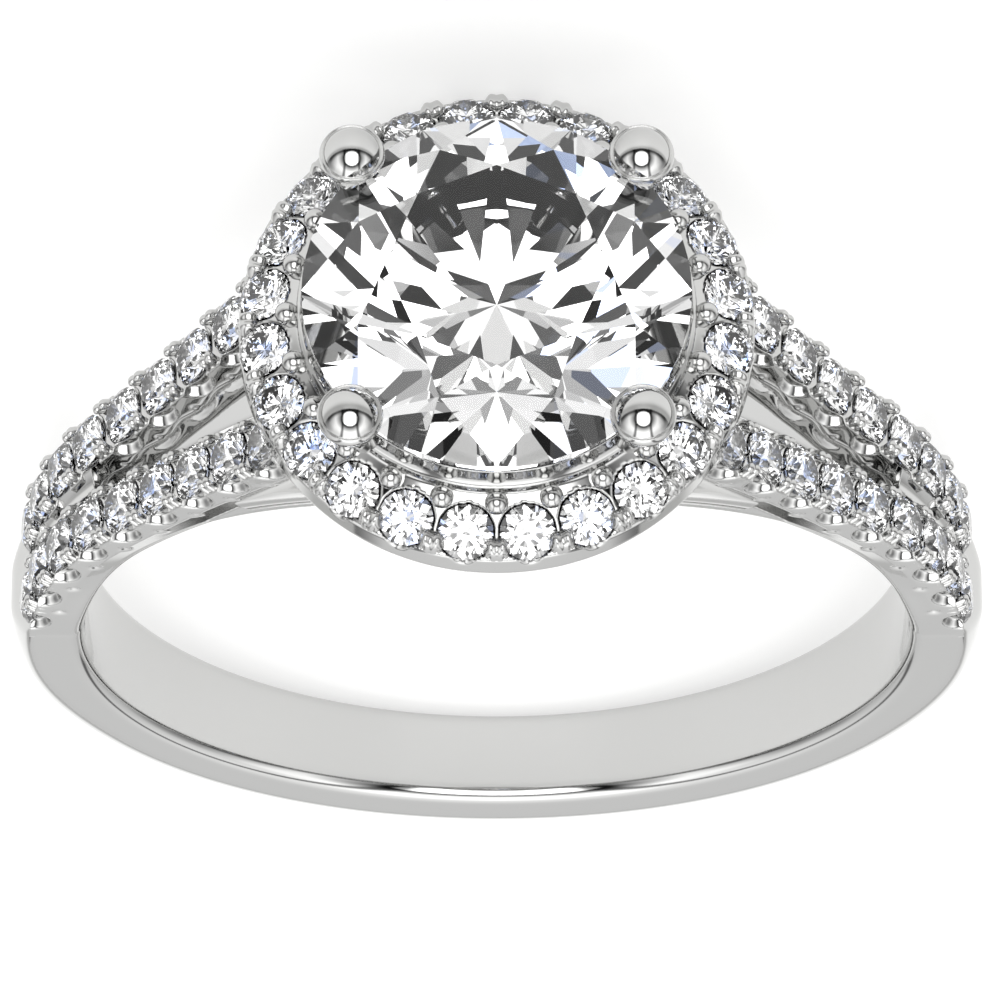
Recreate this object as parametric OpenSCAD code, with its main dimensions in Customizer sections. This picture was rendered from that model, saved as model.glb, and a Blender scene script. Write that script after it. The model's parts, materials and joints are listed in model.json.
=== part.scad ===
/* [Finger hole and band] */
// Inside diameter of the finger hole
bore_d = 16.92; // [15.5:0.01:19]
// Thickness of the band at the bottom
band_t_bottom = 1.75; // [1.4:0.05:2.2]
// Thickness of the band at the two sides
band_t_side = 1.57; // [1.3:0.01:2]
// Width of the band at the bottom
band_w_bottom = 1.9; // [1.6:0.05:2.4]
// Width of the band at the two sides
band_w_side = 2.64; // [2.2:0.02:2.8]
// Radius of the domed outer face of the band, across its width
band_dome_r = 2.2; // [1.7:0.1:4]
// Radius of the rounding between the band's dome and its sides
band_round_r = 0.55; // [0.3:0.05:0.7]

/* [Shoulders] */
// Angle above the sides at which a shoulder leaves its curve and runs straight to the head
rise_angle = 35; // [30:1:40]
// Height of the stones' girdles above the finger hole along the shoulders
row_h = 1.14; // [1.05:0.01:1.3]
// Width of one branch of a shoulder
branch_w = 1.3; // [1.26:0.01:1.5]
// How far the walls beside the slot lean in, as a slope toward the finger hole
slot_lean = 0.08; // [0:0.02:0.2]
// Distance of the lowest stones from the middle of the band
row_offset = 0.79; // [0.7:0.01:0.9]
// Radius of the sweep by which the branches spread apart
spread_r = 59; // [50:1:80]
// Angle above the sides of the lowest stone of a row
first_angle = 8; // [6:0.5:12]
// Number of stones in a row
row_count = 9; // [6:1:9]
// Spacing of the stones in a row
row_pitch = 1.29; // [1.27:0.01:1.36]
// Diameter of a shoulder stone
row_stone_d = 1.15; // [1:0.01:1.17]
// Height above the finger's axis where the slot between two branches starts
slot_start = 5.05; // [4.6:0.05:6.5]
// Slope of the slot's end, from the stones down to the finger hole
slot_slope = 45; // [20:1:55]

/* [Head] */
// Diameter of the centre stone
centre_d = 7.54; // [6.8:0.02:7.6]
// Height of the centre stone's girdle above the finger hole
centre_h = 4.98; // [4.9:0.02:5.4]
// Height of the halo stones' girdles above the finger hole
halo_h = 3.74; // [3.6:0.02:3.9]
// Radius of the circle through the halo stones
halo_r = 4.56; // [4.5:0.01:5]
// Number of stones in the halo
halo_count = 24; // [20:1:24]
// Diameter of a halo stone
halo_stone_d = 1.08; // [0.9:0.01:1.1]
// Outward slope of the halo
halo_slope = 30; // [15:1:32]
// Outer radius of the halo
halo_rim_r = 5.02; // [4.95:0.01:5.5]
// Height of the halo's outer wall
halo_wall = 0.62; // [0.5:0.02:0.9]
// Wall of the collar under the centre stone
collar_t = 0.4; // [0.35:0.05:0.6]
// Outer radius of the basket's base at the finger hole
base_r = 2.7; // [2.4:0.1:3]
// Wall of the basket's base
base_wall = 1.5; // [1:0.1:1.8]
// Height of the basket's base above the finger hole
base_h = 1.1; // [0.9:0.05:1.3]

/* [Claws and beads] */
// Diameter of a centre claw's head
claw_d = 1.26; // [1.1:0.02:1.4]
// Diameter of a centre claw's post
post_d = 1; // [0.8:0.02:1.1]
// Distance of the claw heads from the head's axis
claw_r = 3.97; // [3.9:0.01:4.1]
// Height of the edge of a claw's domed top above the centre stone's girdle
claw_over = 0.62; // [0.5:0.02:0.8]
// Height of the wall of a claw's head below that edge
claw_wall = 0.3; // [0.2:0.02:0.4]
// Rise of a claw's dome above its edge
claw_rise = 0.2; // [0.1:0.02:0.4]
// Diameter of a bead along the halo's inner edge
inner_bead_d = 0.46; // [0.36:0.02:0.5]
// How far those beads are sunk into the ledge beside them
bead_sink = 0.06; // [0.04:0.01:0.1]
// Width of a tab between two stones on the halo's outer edge
tab_w = 0.54; // [0.4:0.02:0.6]
// Diameter of a claw on a shoulder
row_bead_d = 0.36; // [0.3:0.02:0.4]
// How far those claws stand out from a branch's walls
row_bead_out = 0.03; // [0.02:0.01:0.06]
// Height of the beads above the girdles
bead_h = 0.3; // [0.24:0.02:0.36]

/* [Stones] */
// Table width as a share of the diameter
table_share = 0.57; // [0.53:0.01:0.62]
// Slope of the crown's main facets
crown_angle = 34.5; // [32:0.5:36]
// Slope of the pavilion's main facets
pavilion_angle = 40.8; // [40:0.1:41.5]
// Length of the lower halves as a share of the stone's radius
lower_half_share = 0.78; // [0.7:0.01:0.85]
// Thickness of the girdle as a share of the diameter
girdle_share = 0.03; // [0.02:0.005:0.04]
// Gap between a stone and its seat
seat_gap = 0.04; // [0.03:0.005:0.06]

/* [Hidden] */
$fn = 64;
bore_r = bore_d / 2;
over = 0.5;

// Band: its outer circle sits lower than the finger hole, so that it is thicker at the bottom
band_r = bore_r + band_t_side;
band_drop = band_t_bottom - band_t_side;
band_taper = atan((band_w_side - band_w_bottom) / 2 / (band_r + band_drop));
crest_flat = 0.05;
round_r = band_r - crest_flat - band_round_r;
round_f = band_w_side / 2 - band_round_r;

// Shoulder: a circle through the girdles, then its tangent up to the head
row_r = bore_r + row_h;
rise_arc = row_r * (rise_angle - first_angle) * PI / 180;
// Where the straight part ends under the head, and how far the curved part reaches into the band
row_end = row_r * 0.76;
shoulder_overlap = 0.3;
// How deep the cutters of the branches' walls reach below the stones
wall_depth = row_r * 0.6;

// Head, in heights above the finger's axis
centre_z = bore_r + centre_h;
halo_z = bore_r + halo_h;
centre_r = centre_d / 2;
slope = tan(halo_slope);
collar_r = centre_r - 0.05;
ledge_r = collar_r + 0.14;
halo_top_rim = halo_z - (halo_rim_r - halo_r) * slope;
halo_bottom = halo_top_rim - halo_wall;
bridge_r = bore_r + base_h;
// How far the strips under the head reach into the basket's base
base_overlap = 1.2;
rim_chamfer = 0.12;
ledge_h = 0.15;
// How far the tabs stay inside the halo's outer wall, and where their axis lies as a share of their width
tab_inset = 0.01;
tab_in = 0.4;
// How much narrower a claw's head is than its post where it starts
claw_neck = 0.05;

// Round pieces are turned by these, so that no two start and end their turn in the same plane
seam_turn = 33;
halo_seam_turn = 5;
side_seam_turn = 99;

// The band's dome comes down to the rows by a ramp, just below the lowest stones
ramp_gap = 0.06;
ramp_angle = first_angle - (row_stone_d / 2 + ramp_gap) / row_r * 180 / PI;
ramp_slope = 28;
band_top = row_r * sin(ramp_angle) + 0.2;

function halo_name(i) = str("halo_stone_", i < 10 ? "0" : "", i);

// Half the angle that one bezel facet takes of a stone
half_facet = 22.5;

// Heights of a stone of diameter d
function crown_of(d) = d / 2 * (1 - table_share) * tan(crown_angle);
function girdle_of(d) = d * girdle_share;

// A row's path, s from its lowest stone: local y along the straight part, x outward, z across
function turn_at(s) = s < rise_arc ? first_angle + s / row_r * 180 / PI - rise_angle : 0;
function row_y(s) = s < rise_arc ? row_r * sin(turn_at(s)) : s - rise_arc;
function row_x(s) = row_r * cos(turn_at(s));
function sweep_start() = row_y(0);
function spread(y) = row_offset + pow(y - sweep_start(), 2) / (2 * spread_r);
function yaw_at(s) = atan((row_y(s) - sweep_start()) / spread_r);

// A point of a stone at an angle, with its distance from the axis and its height
function at_angle(a, r, z) = [r * cos(a), r * sin(a), z];

// How far a flat facet of the given slope falls away at the girdle, between its two corners there
function dip(a, r, facet_slope) =
    r * facet_slope * (cos(a % half_facet - half_facet / 2) / cos(half_facet / 2) - 1);

// A round brilliant: table, 8 stars, 8 bezels, 16 upper halves, girdle, 16 lower halves, 8 mains
module brilliant(d, girdle_points) {
    r = d / 2;
    half = girdle_of(d) / 2;
    star_r = (r * table_share * cos(half_facet) + r) / 2;
    star_z = half + (r - star_r * cos(half_facet)) * tan(crown_angle);
    keel_r = r * (1 - lower_half_share);
    keel_z = half + (r - keel_r * cos(half_facet)) * tan(pavilion_angle);
    upper_slope = (star_z - half) / (r - star_r);
    lower_slope = (keel_z - half) / (r - keel_r);
    n = girdle_points;
    step = 360 / n;
    per = n / 8;
    eight = [0 : 7];
    s0 = 8;
    k0 = 16;
    g0 = 24;
    l0 = 24 + n;
    c0 = 24 + 2 * n;
    polyhedron(
        points = concat(
            [for (k = eight) at_angle(45 * k, r * table_share, half + crown_of(d))],
            [for (k = eight) at_angle(45 * k + half_facet, star_r, star_z)],
            [for (k = eight) at_angle(45 * k + half_facet, keel_r, -keel_z)],
            [for (j = [0 : n - 1]) at_angle(step * j, r, half - dip(step * j, r, upper_slope))],
            [for (j = [0 : n - 1]) at_angle(step * j, r, dip(step * j, r, lower_slope) - half)],
            [[0, 0, -half - r * tan(pavilion_angle)]]
        ),
        faces = concat(
            [[for (k = [7 : -1 : 0]) k]],
            [for (k = eight) [k, (k + 1) % 8, s0 + k]],
            [for (k = eight) [k, s0 + k, g0 + per * k]],
            [for (k = eight) [k, g0 + per * k, s0 + (k + 7) % 8]],
            [for (k = eight, j = [0 : per - 1])
                [s0 + k, g0 + (per * k + j + 1) % n, g0 + per * k + j]],
            [for (j = [0 : n - 1]) [g0 + j, g0 + (j + 1) % n, l0 + (j + 1) % n]],
            [for (j = [0 : n - 1]) [g0 + j, l0 + (j + 1) % n, l0 + j]],
            [for (k = eight, j = [0 : per - 1])
                [k0 + k, l0 + per * k + j, l0 + (per * k + j + 1) % n]],
            [for (k = eight) [k0 + k, c0, l0 + per * k]],
            [for (k = eight) [k0 + (k + 7) % 8, l0 + per * k, c0]]
        )
    );
}

// What a stone of diameter d keeps clear in the metal: its cone, girdle and crown, with the gap
module seat(d) {
    r = d / 2 + seat_gap;
    half = girdle_of(d) / 2 + seat_gap / 2;
    crown_top = half + crown_of(d) + seat_gap;
    rotate([0, 0, seam_turn]) rotate_extrude() polygon([
        [0, -half - r * tan(pavilion_angle)],
        [r, -half],
        [r, half],
        [r * table_share, crown_top],
        [r * table_share, crown_top + over],
        [0, crown_top + over]
    ]);
}

// Turns the head's own frame, z up through the centre stone, into the ring's frame
module in_head() { rotate([-90, 0, 0]) children(); }

// Each place in the halo, numbered from the front
module at_halo(i) {
    rotate([0, 0, (i + 0.5) * 360 / halo_count - 90])
        translate([halo_r, 0, halo_z])
        rotate([0, halo_slope, 0])
        children();
}

// Each place in a row of a shoulder, side is 1 or -1 across the band
module at_row(s, side) {
    rotate([0, 0, rise_angle])
        translate([row_x(s), row_y(s), side * spread(row_y(s))])
        rotate([0, 0, turn_at(s)])
        rotate([side * yaw_at(s), 0, 0])
        rotate([90, 0, 90])
        children();
}

// The two sides of the ring: flip is 0 for the right and 1 for the left
module on_side(flip) { mirror([flip, 0, 0]) children(); }

// One side of the band: a flat face across, rounded to the dome
module band_side() {
    inner = bore_r - over;
    rotate([0, 0, side_seam_turn]) rotate_extrude() union() {
        translate([inner, -band_w_side]) square([round_r - inner, band_w_side + round_f + band_round_r]);
        translate([inner, -band_w_side]) square([band_r + over - inner, band_w_side + round_f]);
        translate([round_r, round_f]) circle(band_round_r);
    }
}

// The plain band: its width grows evenly from the bottom up to the shoulders
module band() {
    difference() {
        translate([0, -band_drop, 0]) intersection() {
            rotate_extrude() intersection() {
                translate([band_r - band_dome_r, 0]) circle(band_dome_r);
                translate([bore_r - over, -band_w_side])
                    square([band_t_side - crest_flat + over, 2 * band_w_side]);
            }
            intersection() {
                rotate([band_taper, 0, 0]) band_side();
                rotate([-band_taper, 0, 0]) mirror([0, 0, 1]) band_side();
            }
        }
        band_end();
    }
}

// Ends the band inside the shoulders, and cuts its dome down to the level of the stones there
module band_end() {
    ramp_x = row_r * cos(ramp_angle);
    ramp_y = row_r * sin(ramp_angle);
    run = tan(ramp_angle + ramp_slope);
    lift = band_top - ramp_y;
    fall = band_w_side;
    translate([0, 0, -band_w_side]) linear_extrude(2 * band_w_side) polygon([
        [ramp_x - lift * run, band_top],
        [ramp_x + fall * run, ramp_y - fall],
        [2 * row_r, 2 * row_r],
        [-2 * row_r, 2 * row_r],
        [-ramp_x - fall * run, ramp_y - fall],
        [lift * run - ramp_x, band_top]
    ]);
}

// A wall of a branch: round in plan by the spread, with a lean as it goes down to the finger hole
module sweep_wall(side, edge, lean) {
    translate([row_r - wall_depth, sweep_start(), side * (row_offset + edge + spread_r)])
        rotate([0, 90, 0])
        cylinder(r1 = spread_r + wall_depth * lean, r2 = spread_r, h = wall_depth, $fn = 256);
}

// Both branches of the right shoulder, in the frame of its straight part
module shoulder() {
    start = sweep_start() - row_stone_d / 2 - shoulder_overlap;
    difference() {
        intersection() {
            translate([0, 0, -4]) union() {
                intersection() {
                    cylinder(r = row_r, h = 8);
                    translate([row_r / 2, start, 0]) cube([row_r, -start, 8]);
                }
                translate([row_r / 2, 0, 0]) cube([row_r / 2, row_end, 8]);
            }
            rotate([0, 0, -rise_angle]) union() {
                translate([collar_r - collar_t / 2, 0, -4]) cube([row_r, 2 * row_r, 8]);
                intersection() {
                    translate([0, 0, -4]) cylinder(r = bridge_r, h = 8);
                    translate([base_r - base_overlap, 0, -4]) cube([row_r, row_r, 8]);
                }
            }
        }
        for (side = [-1, 1]) sweep_wall(side, branch_w / 2, 0);
        difference() {
            translate([row_r, slot_start - row_r * sin(rise_angle), -3])
                rotate([0, 0, slot_slope])
                translate([-2 * row_r, 0, 0])
                cube([3 * row_r, 2 * row_r, 6]);
            for (side = [-1, 1]) sweep_wall(side, -branch_w / 2, slot_lean);
        }
    }
}

// Halo frame and collar, turned about the head's axis
module halo_frame() {
    in_head() rotate([0, 0, halo_seam_turn]) rotate_extrude() polygon([
        [collar_r - collar_t, halo_bottom],
        [halo_rim_r - rim_chamfer, halo_bottom],
        [halo_rim_r, halo_bottom + rim_chamfer],
        [halo_rim_r, halo_top_rim],
        [ledge_r, halo_z + (halo_r - ledge_r) * slope],
        [ledge_r, halo_z + (halo_r - ledge_r) * slope + ledge_h],
        [collar_r, halo_z + (halo_r - ledge_r) * slope + ledge_h],
        [collar_r, centre_z],
        [collar_r - collar_t, centre_z]
    ]);
}

module basket_base() {
    in_head() difference() {
        translate([0, 0, bore_r - over]) cylinder(r = base_r, h = base_h + over);
        translate([0, 0, bore_r - 2 * over]) cylinder(r = base_r - base_wall, h = base_h + 3 * over);
    }
}

// One claw of the centre stone: a leaning post and a flat-domed head over the crown
module claw() {
    foot_r = base_r - post_d / 2;
    foot_z = bore_r + base_h / 2;
    edge_z = centre_z + claw_over;
    neck_z = edge_z - claw_wall;
    lean = atan((claw_r - foot_r) / (neck_z - foot_z));
    dome_r = (pow(claw_d / 2, 2) + pow(claw_rise, 2)) / (2 * claw_rise);
    translate([foot_r, 0, foot_z]) rotate([0, lean, 0])
        cylinder(d = post_d, h = norm([claw_r - foot_r, neck_z - foot_z]));
    translate([claw_r, 0, neck_z]) intersection() {
        translate([0, 0, -claw_wall]) cylinder(d = claw_d, h = 2 * claw_wall + claw_rise);
        translate([0, 0, claw_wall + claw_rise - dome_r]) sphere(dome_r);
        translate([0, 0, -claw_wall]) cylinder(r1 = post_d / 2 - claw_neck, r2 = claw_d, h = 2 * claw_wall + 1);
    }
}

module claws() {
    in_head() for (a = [45 : 90 : 315]) rotate([0, 0, a]) claw();
}

// A round bead whose top is bead_h above the girdles
module bead(d) {
    translate([0, 0, bead_h - d / 2]) rotate([seam_turn, 0, 0]) sphere(d = d);
}

module halo_beads() {
    inner_x = (ledge_r + inner_bead_d / 2 - halo_r) / cos(halo_slope) - bead_sink;
    in_head() for (i = [0 : halo_count - 1]) rotate([0, 0, i * 360 / halo_count])
        translate([halo_r, 0, halo_z])
        rotate([0, halo_slope, 0])
        translate([inner_x, 0, 0])
        bead(inner_bead_d);
}

// A post with a round top: its top is bead_h above the girdles and its foot reaches depth below
module tab(depth) {
    rotate_extrude() intersection() {
        union() {
            translate([0, bead_h - tab_w / 2]) circle(tab_w / 2);
            translate([0, -depth]) square([tab_w / 2, depth + bead_h - tab_w / 2]);
        }
        translate([0, -depth]) square([tab_w, depth + tab_w]);
    }
}

// The round-topped tabs between the stones on the halo's outer edge
module halo_tabs() {
    tab_r = halo_rim_r - tab_w * tab_in;
    girdle_z = halo_z - (tab_r - halo_r) * slope;
    in_head() intersection() {
        for (i = [0 : halo_count - 1]) rotate([0, 0, i * 360 / halo_count])
            translate([tab_r, 0, girdle_z])
            tab(girdle_z - halo_bottom - 2 * rim_chamfer);
        translate([0, 0, halo_bottom]) cylinder(r = halo_rim_r - tab_inset, h = 2);
    }
}

module row_beads() {
    edge = branch_w / 2 - row_bead_d / 2 + row_bead_out;
    for (i = [0 : row_count], side = [-1, 1], y = [-1, 1])
        at_row((i - 0.5) * row_pitch, side) translate([0, y * edge, 0]) bead(row_bead_d);
}

module head_metal() {
    difference() {
        union() {
            halo_frame();
            basket_base();
            claws();
            halo_beads();
            halo_tabs();
        }
        in_head() translate([0, 0, centre_z]) seat(centre_d);
        for (i = [0 : halo_count - 1]) in_head() at_halo(i) seat(halo_stone_d);
    }
}

module shoulder_metal() {
    difference() {
        union() {
            rotate([0, 0, rise_angle]) shoulder();
            row_beads();
        }
        for (side = [-1, 1], i = [0 : row_count - 1]) at_row(i * row_pitch, side) seat(row_stone_d);
    }
}

module ring_metal_solid() {
    difference() {
        union() {
            band();
            shoulder_metal();
            mirror([1, 0, 0]) shoulder_metal();
            head_metal();
        }
        translate([0, 0, -10]) cylinder(r = bore_r, h = 20);
        for (flip = [0, 1], side = [-1, 1]) on_side(flip) at_row(0, side) seat(row_stone_d);
    }
}

// The ring lies on its side: it touches the floor with the halo's rim and the bottom of its band
rim_z = halo_bottom + rim_chamfer;
low_u = round_r * cos(band_taper) + round_f * sin(band_taper) + band_drop;
low_f = round_f * cos(band_taper) - round_r * sin(band_taper);
rest_span = [rim_z + low_u, halo_rim_r - low_f];
rest_tilt = acos(band_round_r / norm(rest_span)) - atan2(rest_span[0], rest_span[1]);
rest_h = halo_rim_r * cos(rest_tilt) - rim_z * sin(rest_tilt);
table_z = centre_z + girdle_of(centre_d) / 2 + crown_of(centre_d);
front_y = table_z * cos(rest_tilt) + centre_r * table_share * sin(rest_tilt);
back_y = low_u * cos(rest_tilt) + low_f * sin(rest_tilt) + band_round_r;

module lying() {
    translate([0, (front_y - back_y) / 2, rest_h])
        rotate([-rest_tilt, 0, 0])
        rotate([0, 0, 180])
        children();
}

module ring_metal() { color("gainsboro") lying() ring_metal_solid(); }

module centre_stone() {
    color("white") lying() in_head() translate([0, 0, centre_z]) brilliant(centre_d, 64);
}

module halo_stone(i) {
    color("lavender") lying() in_head() at_halo(i - 1) brilliant(halo_stone_d, 16);
}

module shoulder_stones(flip, side) {
    color("lavender") lying() on_side(flip) for (i = [0 : row_count - 1])
        at_row(i * row_pitch, side) brilliant(row_stone_d, 16);
}

ring_metal();
centre_stone();
for (i = [1 : halo_count]) halo_stone(i);
shoulder_stones(1, 1);  // shoulder_stones_left_front
shoulder_stones(1, -1);  // shoulder_stones_left_back
shoulder_stones(0, 1);  // shoulder_stones_right_front
shoulder_stones(0, -1);  // shoulder_stones_right_back
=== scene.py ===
"""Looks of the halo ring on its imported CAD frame: white gold, cut diamonds, a pale studio."""

import json
import math

import bpy
import numpy as np
from mathutils import Matrix, Vector


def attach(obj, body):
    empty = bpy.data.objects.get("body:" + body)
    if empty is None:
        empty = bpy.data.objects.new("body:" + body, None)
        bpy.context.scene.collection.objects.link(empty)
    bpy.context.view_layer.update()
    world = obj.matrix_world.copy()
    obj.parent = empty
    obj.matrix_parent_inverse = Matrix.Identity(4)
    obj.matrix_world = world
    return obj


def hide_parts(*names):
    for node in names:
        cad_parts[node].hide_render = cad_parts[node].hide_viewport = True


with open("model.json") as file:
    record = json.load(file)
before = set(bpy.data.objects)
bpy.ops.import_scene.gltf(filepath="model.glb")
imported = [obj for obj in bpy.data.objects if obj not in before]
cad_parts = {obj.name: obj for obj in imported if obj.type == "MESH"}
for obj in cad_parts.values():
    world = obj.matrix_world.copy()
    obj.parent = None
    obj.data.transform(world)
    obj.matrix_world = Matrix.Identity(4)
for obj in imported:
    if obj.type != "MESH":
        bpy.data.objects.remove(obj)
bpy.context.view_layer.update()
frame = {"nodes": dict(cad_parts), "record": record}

bl_info = {
    "name": "Halo Ring",
    "version": (1, 0, 0),
    "blender": (4, 5, 0),
    "location": "View3D > Sidebar > Halo Ring",
    "description": "Dresses the halo ring and sets up its studio",
    "category": "Object",
}

MM = 0.001
HOLE = frame["record"]["mounts"][0]
METAL_NAME = "white_gold_polished"
# Faces that meet at a sharper angle than this keep a crisp edge between them
CREASE = math.radians(50)

# The ring's own directions in the scene: to its right, up to its head, and along the finger
SIDE = Vector((-1, 0, 0))
ALONG = Vector(HOLE["axis"]).normalized()
UP = Vector((0, -ALONG.z, ALONG.y))
CENTRE = Vector(HOLE["pos_m"])

# Sizes of the metal in millimetres, the same as in the CAD source. Heights are above the
# finger's axis, toward the head.
BORE_R = 8.46
# The band: its outside turns about a line a little below the finger's axis and is domed across,
# with a flat crest, and its sides lean apart toward the head
BAND_R, BAND_DROP, BAND_TAPER = 10.03, 0.18, math.atan(0.37 / 10.21)
BAND_HALF_W, DOME_R, CREST = 1.32, 2.2, 0.05
BAND_END = 4.6  # degrees above the finger's axis
# The plane that ends the band under the branches: its distance from the axis, and its tilt
RAMP_OUT, RAMP_TILT = 8.477, math.radians(32.2)
# The rows of stones follow an arc and then a straight rise, and spread apart from the fork on
ROW_R, RISE, FIRST, SPREAD_R, ROW_OFF = 9.6, math.radians(35), math.radians(8), 59.0, 0.79
PITCH, ROW_COUNT, BRANCH_HALF = 1.29, 9, 0.65
BRANCH_FROM, BRANCH_TO = -0.85, 11.75
RISE_ARC = ROW_R * (RISE - FIRST)
SPREAD_FROM = ROW_R * math.sin(FIRST - RISE)
HEAD_CLEAR = 3.5
FILLET = 0.28
# Relief of the branches' walls, as depths, heights under the girdles and sizes: scoops under the
# stones, notches under the claws, the wavy groove toward the fork, and how much the walls lean
SCOOP_DEPTH, SCOOP_UNDER, SCOOP_EDGE = 0.2, 0.02, (0.3, 0.43)
NOTCH_DEPTH, NOTCH_UNDER, NOTCH_W, NOTCH_H = 0.06, 0.52, 0.07, 0.1
GROOVE_DEPTH, GROOVE_UNDER, GROOVE_WAVE, GROOVE_H = 0.1, 0.62, 0.05, 0.1
INNER_LEAN, OUTER_LEAN = 0.08, 0.3
# The strips that carry the branches on, in degrees above the finger's axis
BRIDGE_FROM, BRIDGE_TO = 57, 80
# The cone seats of the small stones, and how far they and the metal lie under the girdles
ROW_SEAT_R, HALO_SEAT_R, SEAT_DROP, TOP_DROP = 0.6, 0.565, 0.035, 0.03
PAVILION = math.tan(math.radians(40.8))
# The halo: its stones' circle and slope, its rim, and the collar under the centre stone
HALO_COUNT, HALO_Z, HALO_R, HALO_SLOPE = 24, 12.2, 4.56, math.radians(30)
HALO_STEP = 2 * math.pi / HALO_COUNT
RIM_R, RIM_FOOT, LEDGE_R, COLLAR_R, COLLAR_IN, COLLAR_Z = 5.02, 11.314, 3.86, 3.72, 3.32, 12.87
TAB_R, TAB_Z, BEAD_R, BEAD_Z = 4.82, 12.03, 4.038, 12.5
# The centre stone's claws: where the posts stand, and the radius and top of their heads
CLAW_FOOT_R, CLAW_FOOT_Z, CLAW_R, CLAW_NECK_Z, CLAW_TOP = 2.2, 9.01, 3.97, 13.76, 14.27


def linear(hex_colour):
    """An sRGB colour such as "d9d9d6" as linear red, green, blue and alpha."""
    parts = [int(hex_colour[i : i + 2], 16) / 255 for i in (0, 2, 4)]
    return [p / 12.92 if p <= 0.04045 else ((p + 0.055) / 1.055) ** 2.4 for p in parts] + [1]


def add_node(tree, kind, links=None, **settings):
    """Adds a node, sets its sockets and properties, and links {socket: output} into it."""
    node = tree.nodes.new(kind)
    for name, value in settings.items():
        label = name.replace("_", " ")
        sockets = [s for s in node.inputs if s.name.lower() == label.lower()]
        if sockets:
            sockets[0].default_value = value
        else:
            setattr(node, name, value)
    for name, output in (links or {}).items():
        tree.links.new(output, node.inputs[name])
    return node


def grey_ramp(tree, value, stops):
    """A soft grey scale through (position, brightness) stops."""
    ramp = add_node(tree, "ShaderNodeValToRGB", {"Fac": value})
    elements = ramp.color_ramp.elements
    while len(elements) < len(stops):
        elements.new(0.5)
    for element, (position, level) in zip(elements, stops):
        element.position = position
        element.color = (level, level, level, 1)
    return ramp.outputs["Color"]


def new_material(name):
    """An empty node material and its tree."""
    material = bpy.data.materials.new(name)
    material.use_nodes = True
    material.node_tree.nodes.clear()
    return material, material.node_tree


def white_gold(settings):
    """14 carat white gold, cast, rhodium-plated and polished to a mirror: a bright neutral metal
    whose faint waviness from the polishing mop bends its reflections a little."""
    material, tree = new_material(METAL_NAME)
    place = add_node(tree, "ShaderNodeTexCoord")
    # Waves of about 3 mm that a polishing mop leaves, a few thousandths of a millimetre high
    mop_wave, wave_height = 3 * MM, 0.004 * MM
    waves = add_node(tree, "ShaderNodeTexNoise", {"Vector": place.outputs["Object"]},
                     scale=1 / mop_wave, detail=1.0, roughness=0.4)
    # Hairlines of wear, about 0.15 mm apart: too fine to show singly, they only soften the gloss
    hairlines = 0.15 * MM
    wear = add_node(tree, "ShaderNodeTexNoise", {"Vector": place.outputs["Object"]},
                    scale=1 / hairlines, detail=3.0, roughness=0.6)
    gloss = add_node(tree, "ShaderNodeMapRange", {"Value": wear.outputs["Fac"]},
                     to_min=settings.metal_roughness * 0.7, to_max=settings.metal_roughness * 1.5)
    edges = add_node(tree, "ShaderNodeBevel", samples=6, radius=settings.edge_round)
    bump = add_node(tree, "ShaderNodeBump", {"Height": waves.outputs["Fac"],
                    "Normal": edges.outputs["Normal"]}, strength=0.25, distance=wave_height)
    shader = add_node(tree, "ShaderNodeBsdfPrincipled", {"Roughness": gloss.outputs["Result"],
                      "Normal": bump.outputs["Normal"]},
                      base_color=linear(settings.metal_colour), metallic=1.0)
    add_node(tree, "ShaderNodeOutputMaterial", {"Surface": shader.outputs["BSDF"]})
    return material


def diamond(name, painted_fire_tint, spread, glare):
    """Colourless diamond, cut and polished: clear, with sharp bright and dark facets; here and
    there a facet has a pale blue painted into its colour, a painted flash of fire in place of split
    light.
    Spread is the share of facets so painted, and glare the share of the outer facets' mirror image
    that a polarising filter on the lens leaves."""
    material, tree = new_material(name)
    shape = add_node(tree, "ShaderNodeNewGeometry")
    # Each facet has one direction, so a noise of the direction picks, facet by facet, where a
    # painted flash of fire goes
    facet = add_node(tree, "ShaderNodeTexWhiteNoise", {"Vector": shape.outputs["True Normal"]},
                     noise_dimensions="3D")
    # Painted fire: a pale blue painted into the colour of a share of the facets, in place of split
    # light
    painted_flash = add_node(tree, "ShaderNodeValToRGB", {"Fac": facet.outputs["Value"]})
    ramp = painted_flash.color_ramp
    ramp.elements[0].color = (1, 1, 1, 1)
    ramp.elements[0].position = 1 - spread
    ramp.elements[1].color = linear(painted_fire_tint)
    shader = add_node(tree, "ShaderNodeBsdfPrincipled", {"Base Color": painted_flash.outputs["Color"]},
                      roughness=0.0, ior=2.417, transmission_weight=1.0,
                      specular_tint=(glare, glare, glare, 1))
    add_node(tree, "ShaderNodeOutputMaterial", {"Surface": shader.outputs["BSDF"]})
    return material


def ring_point(x, u, f):
    """Points given across, up and along the finger in millimetres, as scene points in metres."""
    out = np.multiply.outer(x, np.array(SIDE)) + np.multiply.outer(u, np.array(UP))
    return np.array(CENTRE) + MM * (out + np.multiply.outer(f, np.array(ALONG)))


def head_point(r, turn, z):
    """Scene points round the head's axis: distance from it, angle from the front, height."""
    return ring_point(r * np.sin(turn), z, r * np.cos(turn))


def smooth(value, low, high):
    """0 below low, 1 above high and a soft step between them."""
    t = np.clip((value - low) / (high - low), 0, 1)
    return t * t * (3 - 2 * t)


def soft_min(a, b, width):
    """The lower of two heights, with a round corner of about the given width."""
    h = np.clip(0.5 + 0.5 * (b - a) / width, 0, 1)
    return b + (a - b) * h - width * h * (1 - h)


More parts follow.
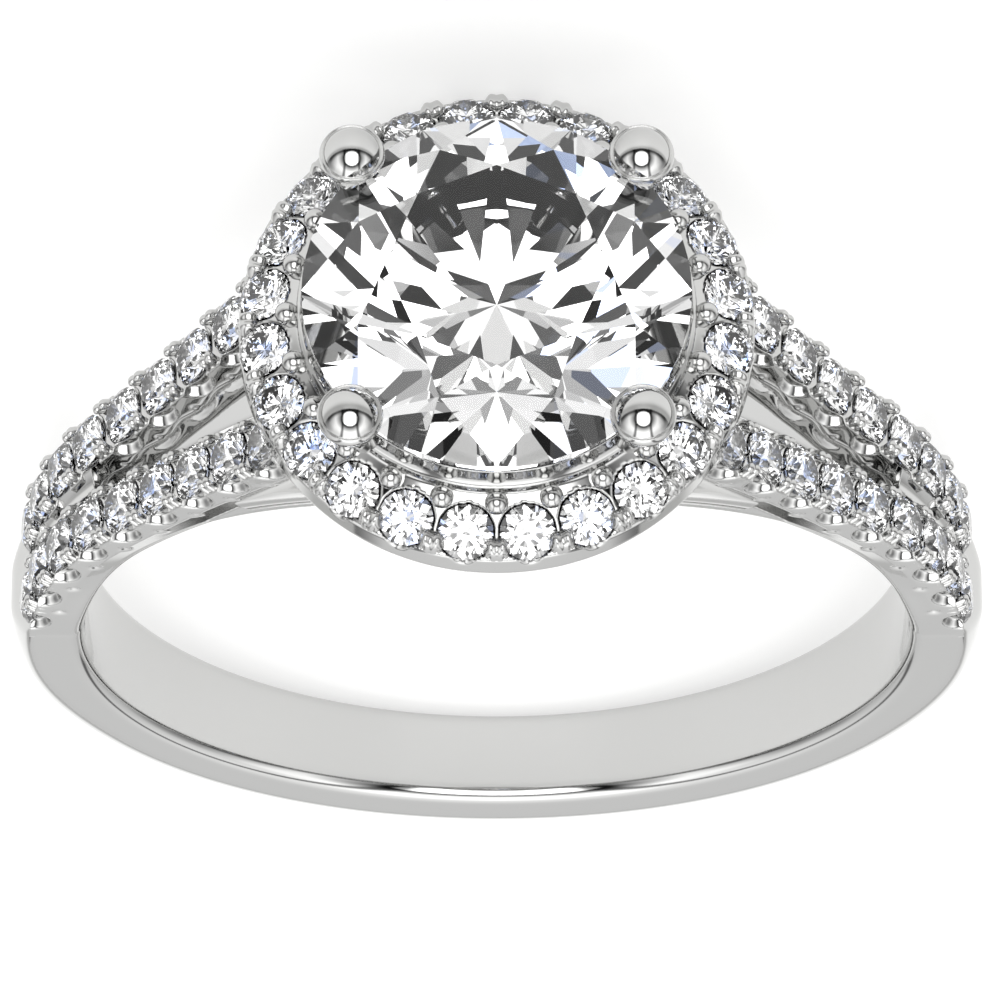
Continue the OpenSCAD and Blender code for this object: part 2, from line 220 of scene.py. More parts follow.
def mesh_piece(name, points, faces, material, mirrored=False):
    """A smooth-shaded piece of the ring from scene points in metres, riding with the metal."""
    mesh = bpy.data.meshes.new(name)
    mesh.from_pydata(points.tolist(), [], faces)
    if mirrored:
        mesh.flip_normals()
    mesh.shade_smooth()
    mesh.set_sharp_from_angle(angle=CREASE)
    mesh.materials.append(material)
    piece = bpy.data.objects.new(name, mesh)
    bpy.context.collection.objects.link(piece)
    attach(piece, "root")
    return piece


def skin(rows, closed=False):
    """Faces between rows of points, each row a closed loop, with flat ends unless it is closed."""
    m, n = rows
    i, j = np.meshgrid(np.arange(m if closed else m - 1), np.arange(n), indexing="ij")
    k, up = (j + 1) % n, (i + 1) % m
    quads = np.stack([i * n + j, i * n + k, up * n + k, up * n + j], -1).reshape(-1, 4).tolist()
    if not closed:
        quads += [list(range(n))[::-1], list(range((m - 1) * n, m * n))]
    return quads


def band_side(up):
    """How far the band's flat side stands from its middle at a height above the finger's axis."""
    return (BAND_HALF_W + (up + BAND_DROP) * math.sin(BAND_TAPER)) / math.cos(BAND_TAPER)


def band_rows():
    """Cross-sections of the plain band from one shoulder round the bottom to the other."""
    a = np.radians(np.linspace(-180 - BAND_END, BAND_END, 331))[:, None]
    sin, cos = np.sin(a), np.cos(a)
    # The same angle on both sides of the ring, up from the finger's axis
    near = np.where(a > -math.pi / 2, a, -math.pi - a)

    def side(rho):
        """Where the flat side stands at a distance from the finger's axis."""
        return band_side(rho * sin)

    def dome(f):
        """How far out the domed outside is at a place across the band."""
        out = BAND_R - DOME_R + np.sqrt(DOME_R**2 - f**2)
        out = soft_min(out, BAND_R - CREST, 0.03)
        return -BAND_DROP * sin + np.sqrt(out**2 - (BAND_DROP * cos) ** 2)

    # The side and the dome meet at a corner, found in a few steps from a guess
    corner_f = side(ROW_R + 0 * a)
    for _ in range(6):
        corner_f = side(dome(corner_f))
    corner = dome(corner_f)
    # Half a cross-section: the bore, its fillet, the side, the soft corner and the dome
    soft = 0.55 - 0.4 * smooth(near, -0.6, 0.0)
    t = np.linspace(0, 1, 6)[None, :-1]
    rho, f = [BORE_R + 0 * t * a], [(side(BORE_R + 0 * a) - FILLET) * t]
    t = np.linspace(0, math.pi / 2, 9)[None, :]
    rho.append(BORE_R + FILLET * (1 - np.cos(t)) + 0 * a)
    f.append(side(rho[-1]) - FILLET * (1 - np.sin(t)))
    t = np.linspace(0, 1, 7)[None, 1:-1]
    rho.append(BORE_R + FILLET + (corner - soft - BORE_R - FILLET) * t)
    f.append(side(rho[-1]))
    t = np.linspace(0, 1, 13)[None, :]
    end_f = corner_f - 0.85 * soft
    rho.append((corner - soft) * (1 - t) ** 2 + 2 * corner * t * (1 - t) + dome(end_f) * t**2)
    f.append(side(corner - soft) * (1 - t) ** 2 + 2 * corner_f * t * (1 - t) + end_f * t**2)
    t = np.linspace(1, 0, 12)[None, 1:-1]
    f.append(end_f * t)
    rho.append(dome(f[-1]))
    rho, f = np.concatenate(rho, 1), np.concatenate(f, 1)
    crest = dome(0 * a)
    rho = np.concatenate([rho, crest, rho[:, :0:-1]], 1)
    f = np.concatenate([f, 0 * a, -f[:, :0:-1]], 1)
    ramp = RAMP_OUT / np.cos(np.maximum(near - RAMP_TILT, -1.2))
    rho = np.maximum(soft_min(rho, ramp, 0.12), BORE_R)
    # The ends dip a few thousandths of a millimetre to pass under the branches' skin
    dip = smooth(near, math.radians(3), math.radians(BAND_END))
    rho, f = np.maximum(rho, BORE_R + 0.006 * dip), f * (1 - 0.006 * dip)
    return ring_point(rho * cos, rho * sin, f)


def row_frame(s, h):
    """A place of a row, s along it and h above its girdles, as x outward and y along the rise."""
    turn = np.where(s < RISE_ARC, FIRST + s / ROW_R - RISE, 0)
    straight = np.where(s < RISE_ARC, 0, s - RISE_ARC)
    return (ROW_R + h) * np.cos(turn), (ROW_R + h) * np.sin(turn) + straight


def row_middle(y):
    """How far a row's middle stands from the ring's, at a place along the rise."""
    return ROW_OFF + (y - SPREAD_FROM) ** 2 / (2 * SPREAD_R)


def rise_point(x, y, f):
    """Scene points of the right shoulder: x outward and y along the rise, f along the finger."""
    return ring_point(x * math.cos(RISE) - y * math.sin(RISE),
                      x * math.sin(RISE) + y * math.cos(RISE), f)


def row_point(s, e, h, side):
    """Scene points of a row of the right shoulder: s along, e across from its middle, h above."""
    x, y = row_frame(s, h)
    return rise_point(x, y, side * (row_middle(y) + e))


def nearest(s):
    """The distance along the row to the nearest stone, and to the nearest claw."""
    stone = np.clip(np.round(s / PITCH), 0, ROW_COUNT - 1) * PITCH
    claw = np.clip(np.round(s / PITCH + 0.5), 0, ROW_COUNT) * PITCH - 0.5 * PITCH
    return s - stone, s - claw


def row_top(s, e):
    """Height of the metal between and under the stones of a row, with their cone seats."""
    along, _ = nearest(s)
    fall = np.where(s < RISE_ARC, along**2 / (2 * ROW_R), 0)
    away = np.sqrt(along**2 + e**2)
    seat = -SEAT_DROP - (ROW_SEAT_R - away) * PAVILION + fall
    return np.where(away < ROW_SEAT_R, np.minimum(seat, -TOP_DROP), -TOP_DROP)


def wall_cut(s, h, inner):
    """How far a branch's wall is cut in: a scoop under each stone, a notch under each pair of
    claws, and on the wall toward the fork a wavy groove below the scoops."""
    along, claw = nearest(s)
    scoop = SCOOP_DEPTH * (1 - smooth(np.sqrt(along**2 + (h + SCOOP_UNDER) ** 2), *SCOOP_EDGE))
    notch = NOTCH_DEPTH * np.exp(-((claw / NOTCH_W) ** 2) - ((h + NOTCH_UNDER) / NOTCH_H) ** 2)
    cut = scoop + notch * (s < ROW_COUNT * PITCH - 0.6) * (s > 0)
    if inner:
        groove = h + GROOVE_UNDER - GROOVE_WAVE * np.cos(2 * np.pi * along / PITCH)
        cut = cut + GROOVE_DEPTH * np.exp(-((groove / GROOVE_H) ** 2))
    return cut


def branch_rows(side):
    """Cross-sections of one branch of the right shoulder, from the band to under the halo."""
    s = np.linspace(BRANCH_FROM, BRANCH_TO, 330)[:, None]
    x, y = row_frame(s, 0 * s)
    # The foot follows the finger hole, and higher up it keeps clear of the head
    bore_x = np.sqrt(BORE_R**2 - np.maximum(y, 0) ** 2)
    clear_x = (HEAD_CLEAR + y * math.sin(RISE)) / math.cos(RISE)
    foot = np.where(s < RISE_ARC, BORE_R - ROW_R, np.maximum(bore_x, clear_x) - ROW_R)
    # The outer wall starts a hair inside the band's side and swells out of it
    side_f = band_side(x * math.sin(RISE) + y * math.cos(RISE))
    flush = side_f - row_middle(y) - 0.003
    outer = flush + (BRANCH_HALF - flush) * smooth(s, -0.8, 1.4)
    foot = foot + 0.004 * (1 - smooth(s, BRANCH_FROM, -0.1))
    fillet = FILLET - 0.03 * smooth(s, -0.6, 0.6)

    def lean(h, inner):
        """How far a wall leans out at a height, against its top."""
        if inner:
            return -INNER_LEAN * h + INNER_LEAN * smooth(-h, 0.68, 0.9)
        return -OUTER_LEAN * np.clip(-h - 0.5, 0, 0.64) * smooth(s, -0.5, 4)

    loops_e, loops_h = [], []
    for inner in (False, True):
        half = outer if not inner else 0 * s + BRANCH_HALF
        edge = half - wall_cut(s, -0.1, inner)
        brim = row_top(s, edge)
        t = np.linspace(0, 1, 34)[None, :]
        depth = brim + (foot + fillet - brim) * t**1.7
        reach = half + lean(depth, inner) - wall_cut(s, depth, inner)
        a = np.linspace(0, math.pi / 2, 7)[None, 1:]
        h = np.concatenate([depth, foot + fillet * (1 - np.sin(a))], 1)
        last = half + lean(foot + fillet, inner)
        e = np.concatenate([reach, last - fillet * (1 - np.cos(a))], 1)
        loops_e.append(e)
        loops_h.append(h)
    t = np.linspace(0, 1, 38)[None, 1:-1]
    top_e = loops_e[0][:, :1] * (1 - t) - loops_e[1][:, :1] * t
    e = np.concatenate([loops_e[0][:, ::-1], top_e, -loops_e[1]], 1)
    h = np.concatenate([loops_h[0][:, ::-1], row_top(s, top_e), loops_h[1]], 1)
    return row_point(s + 0 * e, e, h, side)


def web_rows():
    """The metal that joins the two branches of the right shoulder below their fork, with a
    rounded groove along its top."""
    half_w, groove, start, length = 0.35, 0.2, -0.8, 4.75
    across = np.linspace(-1, 1, 9)
    f = half_w * np.concatenate([-across, across])[None, :]
    top = across**2 * groove - groove - 0.05
    h = np.concatenate([top, np.full(9, BORE_R - ROW_R + 0.02)])[None, :]
    t = np.linspace(0, 1, 30)[:, None]
    s = start + t * (length + h)
    x, y = row_frame(s, h + 0 * s)
    return rise_point(x, y, f + 0 * s)


def bridge_rows(side):
    """The low strip that carries a branch on along the finger hole to the basket's base."""
    a = np.radians(np.linspace(BRIDGE_FROM, BRIDGE_TO, 30))[:, None]
    # Its cross-section: distance from the finger's axis, and across from the row's middle
    section = np.array([(8.46, -0.4), (8.46, 0.0), (8.47, 0.16), (8.53, 0.3), (8.66, 0.41),
                        (8.9, 0.5), (9.3, 0.58), (9.48, 0.58), (9.54, 0.5), (9.54, -0.5),
                        (9.48, -0.6), (9.3, -0.62), (8.8, -0.62), (8.54, -0.56), (8.47, -0.48)])
    rho, e = section.T[:, None, :]
    f = side * (row_middle(rho * np.sin(a - RISE)) + e)
    return ring_point(rho * np.cos(a), rho * np.sin(a), f)


def from_stone(turn):
    """The angle round the head from the nearest stone of the halo."""
    return (turn / HALO_STEP) % 1 * HALO_STEP - HALO_STEP / 2


def halo_top(r, turn):
    """Height of the halo's sloped face, with the cone seats of its stones."""
    base = HALO_Z + (HALO_R - r) * math.tan(HALO_SLOPE)
    out, across = r * np.cos(from_stone(turn)) - HALO_R, r * np.sin(from_stone(turn))
    z = base
    for _ in range(3):
        along = out * math.cos(HALO_SLOPE) - (z - HALO_Z) * math.sin(HALO_SLOPE)
        away = np.sqrt(along**2 + across**2)
        deep = -SEAT_DROP - (HALO_SEAT_R - away) * PAVILION
        seat = HALO_Z + (deep - out * math.sin(HALO_SLOPE)) / math.cos(HALO_SLOPE)
        z = np.where(away < HALO_SEAT_R, np.minimum(base, seat), base)
    return z


def halo_rows():
    """The halo's frame and the collar under the centre stone, turned, with seats and notches."""
    turn = np.linspace(0, 2 * math.pi, 1200, endpoint=False)[:, None]
    across = RIM_R * np.sin(from_stone(turn))
    # The collar's inner wall and its flared seat, then its rounded outside and a narrow ledge
    t = np.linspace(0, 1, 5)
    r = [COLLAR_IN + 0 * t, COLLAR_IN + (COLLAR_R - COLLAR_IN) * t[1:]]
    z = [RIM_FOOT + 0.1 + (COLLAR_Z - RIM_FOOT - 0.1) * t, COLLAR_Z + 0.34 * t[1:]]
    t = np.linspace(0, math.pi / 2, 7)[1:]
    r.append(COLLAR_R + 0.015 + 0.125 * (1 - np.cos(t)))
    z.append(COLLAR_Z + 0.32 - 0.42 * np.sin(t))
    r.append(LEDGE_R + np.array([0, 0.01, 0.01]))
    z.append(COLLAR_Z - np.array([0.13, 0.15, 0.25]))
    r, z = np.concatenate(r)[None, :] + 0 * turn, np.concatenate(z)[None, :] + 0 * turn
    # The sloped face, the rim's wall with a notch under each stone, its rounded foot, the bottom
    edge, foot_r, notch_depth, notch_under = 0.02, 0.12, 0.14, 0.27
    face = np.linspace(LEDGE_R + edge, RIM_R - edge, 30)[None, :] + 0 * turn
    depth = np.linspace(0, 1, 12)[None, :]
    brim = halo_top(RIM_R - edge + 0 * turn, turn) - edge
    wall = brim + (RIM_FOOT + foot_r - brim) * depth
    far = np.sqrt(across**2 + (wall - HALO_Z + notch_under) ** 2)
    notch = notch_depth * (1 - smooth(far, 0.1, 0.22))
    t = np.linspace(0, math.pi / 2, 5)[None, 1:] + 0 * turn
    under = np.linspace(RIM_R - 0.2, COLLAR_IN + 0.1, 4)[None, :] + 0 * turn
    r = np.concatenate([r, face, RIM_R - notch, RIM_R - foot_r * (1 - np.cos(t)), under], 1)
    z = np.concatenate([z, halo_top(face, turn), wall, RIM_FOOT + foot_r * (1 - np.sin(t)),
                        RIM_FOOT + 0 * under], 1)
    return head_point(r, turn, z)


def ball(rings, around):
    """Unit directions over a ball, ring by ring from its top, and its faces."""
    v = np.linspace(0, math.pi, rings)[:, None]
    w = np.linspace(0, 2 * math.pi, around, endpoint=False)[None, :]
    points = np.stack([np.sin(v) * np.cos(w), np.sin(v) * np.sin(w), np.cos(v) + 0 * w], -1)
    return points, skin((rings, around))


def gather(parts):
    """Several grids of scene points and their faces, as one list of points and one of faces."""
    points, faces, base = [], [], 0
    for grid, quads in parts:
        points.append(grid.reshape(-1, 3))
        faces += [[base + k for k in q] for q in quads]
        base += len(points[-1])
    return np.concatenate(points), faces


def row_claws(side):
    """The split claws of a row: two slim prongs between each two stones, on both walls."""
    unit, quads = ball(9, 10)
    # A prong's half sizes along and across the row, its middle's height, its top and its tail
    half, wide, high, top, tail = 0.098, 0.12, 0.12, 0.1, 0.6
    parts = []
    for i in range(1, ROW_COUNT + 1):
        middle = (i - 0.5) * PITCH
        for wall in (-1, 1):
            for twin in (-1, 1):
                h = high + np.where(unit[..., 2] > 0, top, tail) * unit[..., 2]
                lean = 0.1 * smooth(h, -0.15, 0.2)
                s = middle + half * (twin + unit[..., 0])
                e = wall * (BRANCH_HALF - 0.1 - lean + wide * unit[..., 1])
                parts.append((row_point(s, e, h, side), quads))
    return gather(parts)


def halo_tabs():
    """The tabs between the stones on the halo's outer edge: two peaks and three fine flutes."""
    unit, quads = ball(33, 44)
    # Half sizes round, outward and up, how high the peaks rise and how far apart they are
    wide, deep, tall, peak, peak_step = 0.275, 0.24, 0.3, 0.045, 0.28
    flute_w, flute_depth = 0.022, 0.05
    parts = []
    for i in range(HALO_COUNT):
        b = wide * unit[..., 0]
        r = TAB_R + deep * unit[..., 1]
        z = TAB_Z + tall * unit[..., 2]
        z = z - peak * np.cos(2 * np.pi * b / peak_step) * smooth(unit[..., 2], 0, 0.6)
        # The flutes, on the outside only and fading out above and below
        places = (-peak_step / 2, 0, peak_step / 2)
        flute = sum(np.exp(-(((b - k) / flute_w) ** 2)) for k in places)
        flute = flute * smooth(r, TAB_R + 0.03, TAB_R + 0.13)
        flute = flute * smooth(z, TAB_Z - 0.17, TAB_Z - 0.08)
        flute = flute * (1 - smooth(z, TAB_Z + 0.07, TAB_Z + 0.17))
        r = soft_min(r - flute_depth * flute, RIM_R, 0.03)
        turn = i * HALO_STEP
        parts.append((head_point(r, turn + b / r, z), quads))
    return gather(parts)


def halo_beads():
    """The round beads along the halo's inner edge."""
    unit, quads = ball(17, 20)
    # A bead's radius, how far its top and its root reach from its middle, and the middle's height
    radius, top, root, high = 0.235, 0.23, 0.4, 0.07
    parts = []
    for i in range(HALO_COUNT):
        turn = i * HALO_STEP
        along, across = radius * unit[..., 0], radius * unit[..., 1]
        up = np.where(unit[..., 2] > 0, top, root) * unit[..., 2] + high
        r = BEAD_R + along * math.cos(HALO_SLOPE) + up * math.sin(HALO_SLOPE)
        z = BEAD_Z - along * math.sin(HALO_SLOPE) + up * math.cos(HALO_SLOPE)
        parts.append((head_point(r, turn + across / r, z), quads))
    return gather(parts)


def turned(profile, base, tip):
    """A piece turned about a line of the head: profile gives radius and height from base to tip."""
    base, tip = np.array(base, float), np.array(tip, float)
    axis = (tip - base) / np.linalg.norm(tip - base)
    cross = np.array([0, 1, 0])
    third = np.cross(axis, cross)
    w = np.linspace(0, 2 * math.pi, 40, endpoint=False)[None, :, None]
    profile = np.array(profile)
    radius, height = profile[:, 0][:, None, None], profile[:, 1][:, None, None]
    return base + axis * height + radius * (np.cos(w) * cross + np.sin(w) * third)


def claw_grids():
    """The four claws of the centre stone, each a leaning post and a domed head with a ridge."""
    foot, neck = (CLAW_FOOT_R, 0, CLAW_FOOT_Z), (CLAW_R, 0, CLAW_NECK_Z)
    post_r, length = 0.5, math.dist(foot, neck)
    post = [(0, 0), (post_r, 0), (post_r, length * 0.5), (post_r, length), (0, length)]
    # The head, as radius and depth under its top: the dome, then the ridge round it and the side
    dome_r, dome_edge = 0.62, 1.13
    head = [(dome_r * math.sin(a), dome_r * (1 - math.cos(a)))
            for a in np.linspace(0, dome_edge, 16)]
    head += [(0.572, 0.345), (0.585, 0.335), (0.602, 0.335), (0.622, 0.36), (0.638, 0.41),
             (0.64, 0.47), (0.63, 0.55), (0.6, 0.65), (0.55, 0.72), (0.46, 0.79), (0, 0.79)]
    head = [(r, CLAW_TOP - depth) for r, depth in head]
    parts = []
    for k in range(4):
        turn = math.radians(45 + 90 * k)
        for grid in (turned(post, foot, neck), turned(head, (CLAW_R, 0, 0), (CLAW_R, 0, 1))):
            x, y, z = grid[..., 0], grid[..., 1], grid[..., 2]
            r, more = np.hypot(x, y), np.arctan2(y, x)
            parts.append((head_point(r, turn + more, z), skin(grid.shape[:2])))
    return gather(parts)


def base_rows():
    """The basket's base: a ring that stands on the shoulders' strips and opens to the finger."""
    turn = np.linspace(0, 2 * math.pi, 160, endpoint=False)[:, None]
    # Its top from the inside out, with rounded edges, as radius and depth under the middle
    tall = 1.1
    r = np.array([1.2, 1.2, 1.26, 1.34, 2.56, 2.64, 2.7, 2.7])[None, :]
    drop = np.array([0, 0.14, 0.04, 0, 0, 0.04, 0.14, 0])[None, :]
    is_top = np.array([0, 1, 1, 1, 1, 1, 1, 0])[None, :] > 0
    finger = np.sqrt(BORE_R**2 - (r * np.sin(turn)) ** 2) + 0.01
    z = np.where(is_top, BORE_R + tall - drop, finger)
    return head_point(r + 0 * turn, turn, z)


def lens_way(angle):
    """The direction at an angle up from the finger's axis toward the head."""
    return ALONG * math.cos(angle) + UP * math.sin(angle)


def assign(names, material):
    """Gives CAD nodes their material."""
    for name in names:
        obj = frame["nodes"][name]
        obj.data.materials.clear()
        obj.data.materials.append(material)


class RingLooks(bpy.types.PropertyGroup):
    """What a user may change of the ring's finish."""

    metal_colour: bpy.props.StringProperty(
        name="Metal colour", description="sRGB colour of the white gold", default="c6c6c5")
    metal_roughness: bpy.props.FloatProperty(
        name="Metal roughness", description="How much the polish scatters reflections",
        default=0.05, min=0, max=1, subtype="FACTOR")
    edge_round: bpy.props.FloatProperty(
        name="Edge rounding", description="How far the polish rounds the metal's edges",
        default=0.05 * MM, min=0, unit="LENGTH")
    # The pale blue painted into some facets of the diamonds, as painted flashes of fire
    painted_fire_colour: bpy.props.StringProperty(
        name="Fire colour", description="sRGB colour of the diamonds' coloured flashes",
        default="8fb0ff")


class StudioSet(bpy.types.PropertyGroup):
    """What a user may change of the studio."""

    floor_colour: bpy.props.StringProperty(
        name="Floor colour", description="sRGB colour of the floor", default="b8b8b7")
    # How strong the glow painted into the floor round the ring is; the floor is no lamp
    painted_floor_glow: bpy.props.FloatProperty(
        name="Floor glow", description="How strongly the floor is lit from below",
        default=0.56, min=0)
    focal_length: bpy.props.FloatProperty(
        name="Focal length", description="Focal length of the camera in millimetres",
        default=350.35, min=1)
    distance: bpy.props.FloatProperty(
        name="Camera distance", description="Distance of the camera from the finger hole",
        default=0.2, min=0.01, unit="LENGTH")
    height_angle: bpy.props.FloatProperty(
        name="Camera angle", description="Angle from the finger's axis up toward the head",
        default=1.134, subtype="ANGLE")
    look_angle: bpy.props.FloatProperty(
        name="Look angle", description="The angle at which the camera looks down",
        default=1.125, subtype="ANGLE")


def metal(context):
    """The ring's white gold, made when the first piece asks for it."""
    found = bpy.data.materials.get(METAL_NAME)
    return found or white_gold(context.scene.ring_looks)


def mirror_image(points):
    """The same points on the other side of the ring."""
    return points * np.array([-1, 1, 1])


def metal_piece(context, name, rows, closed=False):
    """A piece of the metal from its cross-sections."""
    return mesh_piece(name, rows.reshape(-1, 3), skin(rows.shape[:2], closed), metal(context))


def both_sides(context, name, points, faces):
    """A piece of the right shoulder and its mirror image on the left."""
    mesh_piece(name + "_right", points, faces, metal(context))
    mesh_piece(name + "_left", mirror_image(points), faces, metal(context), mirrored=True)


class HALORING_OT_band(bpy.types.Operator):
    """Build the plain polished band"""

    bl_idname = "haloring.band"
    bl_label = "Band"

    def execute(self, context):
        metal_piece(context, "band", band_rows())
        return {"FINISHED"}


class HALORING_OT_shoulders(bpy.types.Operator):
    """Build the split shoulders: four branches, their claws and what joins them"""

    bl_idname = "haloring.shoulders"
    bl_label = "Shoulders"

    def execute(self, context):
        parts = {"branch": branch_rows, "bridge": bridge_rows}
        for where, side in (("front", 1), ("back", -1)):
            for name, make in parts.items():
                rows = make(side)
                both_sides(context, f"{name}_{where}", rows.reshape(-1, 3), skin(rows.shape[:2]))
            both_sides(context, f"row_claws_{where}", *row_claws(side))
        rows = web_rows()
        both_sides(context, "web", rows.reshape(-1, 3), skin(rows.shape[:2]))
        return {"FINISHED"}


class HALORING_OT_head(bpy.types.Operator):
    """Build the head: halo frame, its beads and tabs, the centre stone's claws and the base"""

    bl_idname = "haloring.head"
    bl_label = "Head"

    def execute(self, context):
        frame_piece = metal_piece(context, "halo_frame", halo_rows(), closed=True)
        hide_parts("ring_metal")
        metal_piece(context, "basket_base", base_rows(), closed=True)
        small = {"halo_tabs": halo_tabs, "halo_beads": halo_beads, "claws": claw_grids}
        for name, make in small.items():
            mesh_piece(name, *make(), metal(context))
        return {"FINISHED"}


class HALORING_OT_stones(bpy.types.Operator):
    """Give every stone its diamond"""

    bl_idname = "haloring.stones"
    bl_label = "Stones"

    def execute(self, context):
        looks = context.scene.ring_looks
        centre = diamond("diamond_centre_cut", looks.painted_fire_colour, spread=0.07, glare=0.3)
        assign(["centre_stone"], centre)
        small = [n for n in frame["nodes"] if n.startswith(("halo_stone", "shoulder_stones"))]
        assign(small, diamond("diamond_small_cut", looks.painted_fire_colour, spread=0.12, glare=0.7))
        return {"FINISHED"}


class HALORING_OT_stage(bpy.types.Operator):
    """Set up the floor, the lights and the camera"""

    bl_idname = "haloring.stage"
    bl_label = "Studio"

    # Brightness of the tent, each a list of (position, brightness) stops: by height in front of
    # the head and behind it, by distance to either side, and by closeness to the lens
    LEVEL = 1.15
    FRONT = [(0.0, 0.4), (0.06, 0.1), (0.12, 0.15), (0.28, 1.3), (0.5, 1.5), (1.0, 1.8)]
    BEHIND = [(0.0, 0.72), (0.12, 0.76), (0.3, 0.86), (0.5, 1.0), (0.8, 1.2), (1.0, 2.0)]
    SIDES = [(0.0, 1.0), (0.34, 1.0), (0.4, 0.2), (0.47, 0.2), (0.53, 1.0), (0.8, 0.9), (1.0, 0.35)]
    LENS = [(0.62, 1.0), (0.8, 0.3), (0.865, 0.01), (0.885, 0.01), (0.905, 1.7)]
    # Where the tent's front ends and where its back starts
    FRONT_END, BACK_START = -0.15, 0.2
    # The floor, its pool of glow painted in round the ring, and its grain
    FLOOR_HALF, POOL_EDGE, POOL_END, GRAIN = 0.6, 19 * MM, 42 * MM, 0.5 * MM
    # The camera: the width of its picture, how far it is shifted sideways, what it can see
    SENSOR, SHIFT, CLIP = 36, 0.0033, (0.01, 5)

    def execute(self, context):
        studio = context.scene.studio_set
        self.floor(studio)
        self.sky(studio)
        self.camera(context, studio)
        context.scene.view_settings.view_transform = "Standard"
        return {"FINISHED"}

    def floor(self, studio):
        """A wide matt floor under the ring, with a pool of glow painted into it round the ring."""
        half = self.FLOOR_HALF
        mesh = bpy.data.meshes.new("floor")
        mesh.from_pydata([(-half, -half, 0), (half, -half, 0), (half, half, 0), (-half, half, 0)],
                         [], [(0, 1, 2, 3)])
        floor = bpy.data.objects.new("floor", mesh)
        bpy.context.collection.objects.link(floor)
        material, tree = new_material("floor_matt_acrylic")
        # Matt white acrylic, cast: its grain of about half a millimetre barely shows
        place = add_node(tree, "ShaderNodeTexCoord")
        grain = add_node(tree, "ShaderNodeTexNoise", {"Vector": place.outputs["Object"]},
                         scale=1 / self.GRAIN, detail=2.0)
        soft = add_node(tree, "ShaderNodeMapRange", {"Value": grain.outputs["Fac"]},
                        to_min=0.5, to_max=0.6)
        # A round pool of glow painted into the floor under the ring, with no lamp below it, takes
        # the ring's shadows away
        away = add_node(tree, "ShaderNodeVectorMath", {0: place.outputs["Object"]},
                        operation="LENGTH")
        painted_glow_pool = add_node(tree, "ShaderNodeMapRange", {"Value": away.outputs["Value"]},
                        interpolation_type="SMOOTHSTEP", from_min=self.POOL_EDGE,
                        from_max=self.POOL_END, to_min=studio.painted_floor_glow, to_max=0.0)
        shader = add_node(tree, "ShaderNodeBsdfPrincipled", {"Roughness": soft.outputs["Result"],
                          "Emission Strength": painted_glow_pool.outputs["Result"]},
                          base_color=linear(studio.floor_colour))
        add_node(tree, "ShaderNodeOutputMaterial", {"Surface": shader.outputs["BSDF"]})
        mesh.materials.append(material)

    def sky(self, studio):
        """A white tent all round with soft dark gaps between its panels, and a lamp at the lens."""
        world = bpy.data.worlds.new("studio_tent")
        bpy.context.scene.world = world
        world.use_nodes = True
        tree = world.node_tree
        tree.nodes.clear()
        place = add_node(tree, "ShaderNodeTexCoord")
        parts = add_node(tree, "ShaderNodeSeparateXYZ", {"Vector": place.outputs["Generated"]})
        aside = add_node(tree, "ShaderNodeMath", {0: parts.outputs["X"]}, operation="ABSOLUTE")
        # A round lamp about the lens with a dark gap round it gives the stones their contrast
        lens = add_node(tree, "ShaderNodeVectorMath", {0: place.outputs["Generated"]},
                        operation="DOT_PRODUCT")
        lens.inputs[1].default_value = lens_way(studio.height_angle)
        turn = add_node(tree, "ShaderNodeMapRange", {"Value": parts.outputs["Y"]},
                        interpolation_type="SMOOTHSTEP", from_min=self.FRONT_END,
                        from_max=self.BACK_START)
        height = add_node(tree, "ShaderNodeMix", {0: turn.outputs["Result"],
                          2: grey_ramp(tree, parts.outputs["Z"], self.FRONT),
                          3: grey_ramp(tree, parts.outputs["Z"], self.BEHIND)}, data_type="FLOAT")
        light = height.outputs[0]
        for level in (grey_ramp(tree, aside.outputs[0], self.SIDES),
                      grey_ramp(tree, lens.outputs["Value"], self.LENS)):
            product = add_node(tree, "ShaderNodeMath", {0: light, 1: level}, operation="MULTIPLY")
            light = product.outputs[0]
        back = add_node(tree, "ShaderNodeBackground", {"Color": light}, strength=self.LEVEL)
        add_node(tree, "ShaderNodeOutputWorld", {"Surface": back.outputs["Background"]})

    def camera(self, context, studio):
        """A long lens in front of and above the ring, level with its width."""
        look = studio.look_angle
        data = bpy.data.cameras.new("camera")
        data.lens = studio.focal_length
        data.sensor_width = self.SENSOR
        data.shift_x = self.SHIFT
        data.clip_start, data.clip_end = self.CLIP
        camera = bpy.data.objects.new("camera", data)
        context.collection.objects.link(camera)
        place = CENTRE + studio.distance * lens_way(studio.height_angle)
        back = lens_way(look)
        up = UP * math.cos(look) - ALONG * math.sin(look)
        turn = Matrix((up.cross(back), up, back)).transposed()
        camera.matrix_world = Matrix.Translation(place) @ turn.to_4x4()
        context.scene.camera = camera


class HALORING_PT_panel(bpy.types.Panel):
    """Lists the ring's pieces and its studio"""

    bl_label = "Halo Ring"
    bl_idname = "HALORING_PT_panel"
    bl_space_type = "VIEW_3D"
    bl_region_type = "UI"
    bl_category = "Halo Ring"

    def draw(self, context):
        layout = self.layout
        for group in (context.scene.ring_looks, context.scene.studio_set):
            for name in group.__annotations__:
                layout.prop(group, name)
        for operator in OPERATORS:
            layout.operator(operator.bl_idname)


OPERATORS = (HALORING_OT_band, HALORING_OT_shoulders, HALORING_OT_head, HALORING_OT_stones,
             HALORING_OT_stage)
CLASSES = (RingLooks, StudioSet, *OPERATORS, HALORING_PT_panel)


def register():
    for cls in CLASSES:
        bpy.utils.register_class(cls)
    bpy.types.Scene.ring_looks = bpy.props.PointerProperty(type=RingLooks)
    bpy.types.Scene.studio_set = bpy.props.PointerProperty(type=StudioSet)


def unregister():
    del bpy.types.Scene.ring_looks
    del bpy.types.Scene.studio_set
    for cls in reversed(CLASSES):
        bpy.utils.unregister_class(cls)


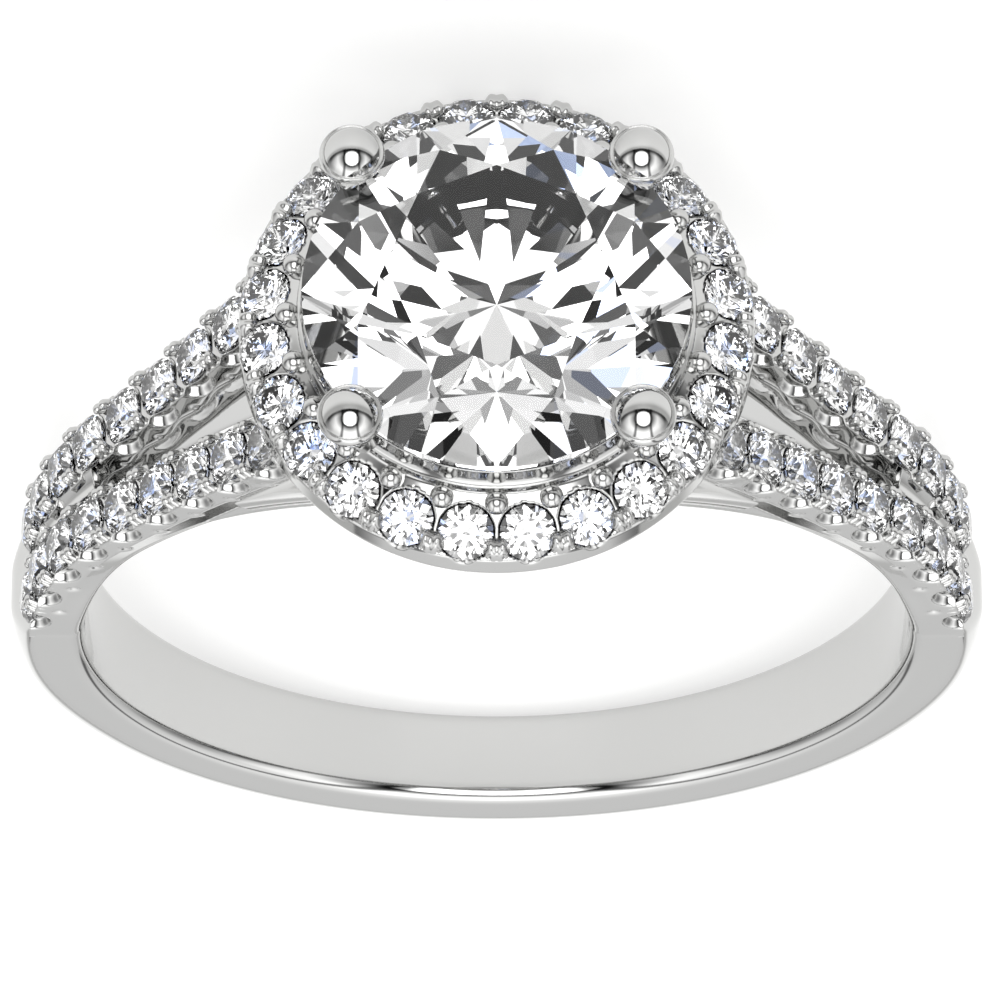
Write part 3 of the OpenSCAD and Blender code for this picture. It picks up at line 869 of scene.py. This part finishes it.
def main():
    register()
    bpy.ops.haloring.band()
    bpy.ops.haloring.shoulders()
    bpy.ops.haloring.head()
    bpy.ops.haloring.stones()
    bpy.ops.haloring.stage()


if __name__ == "__main__":
    main()
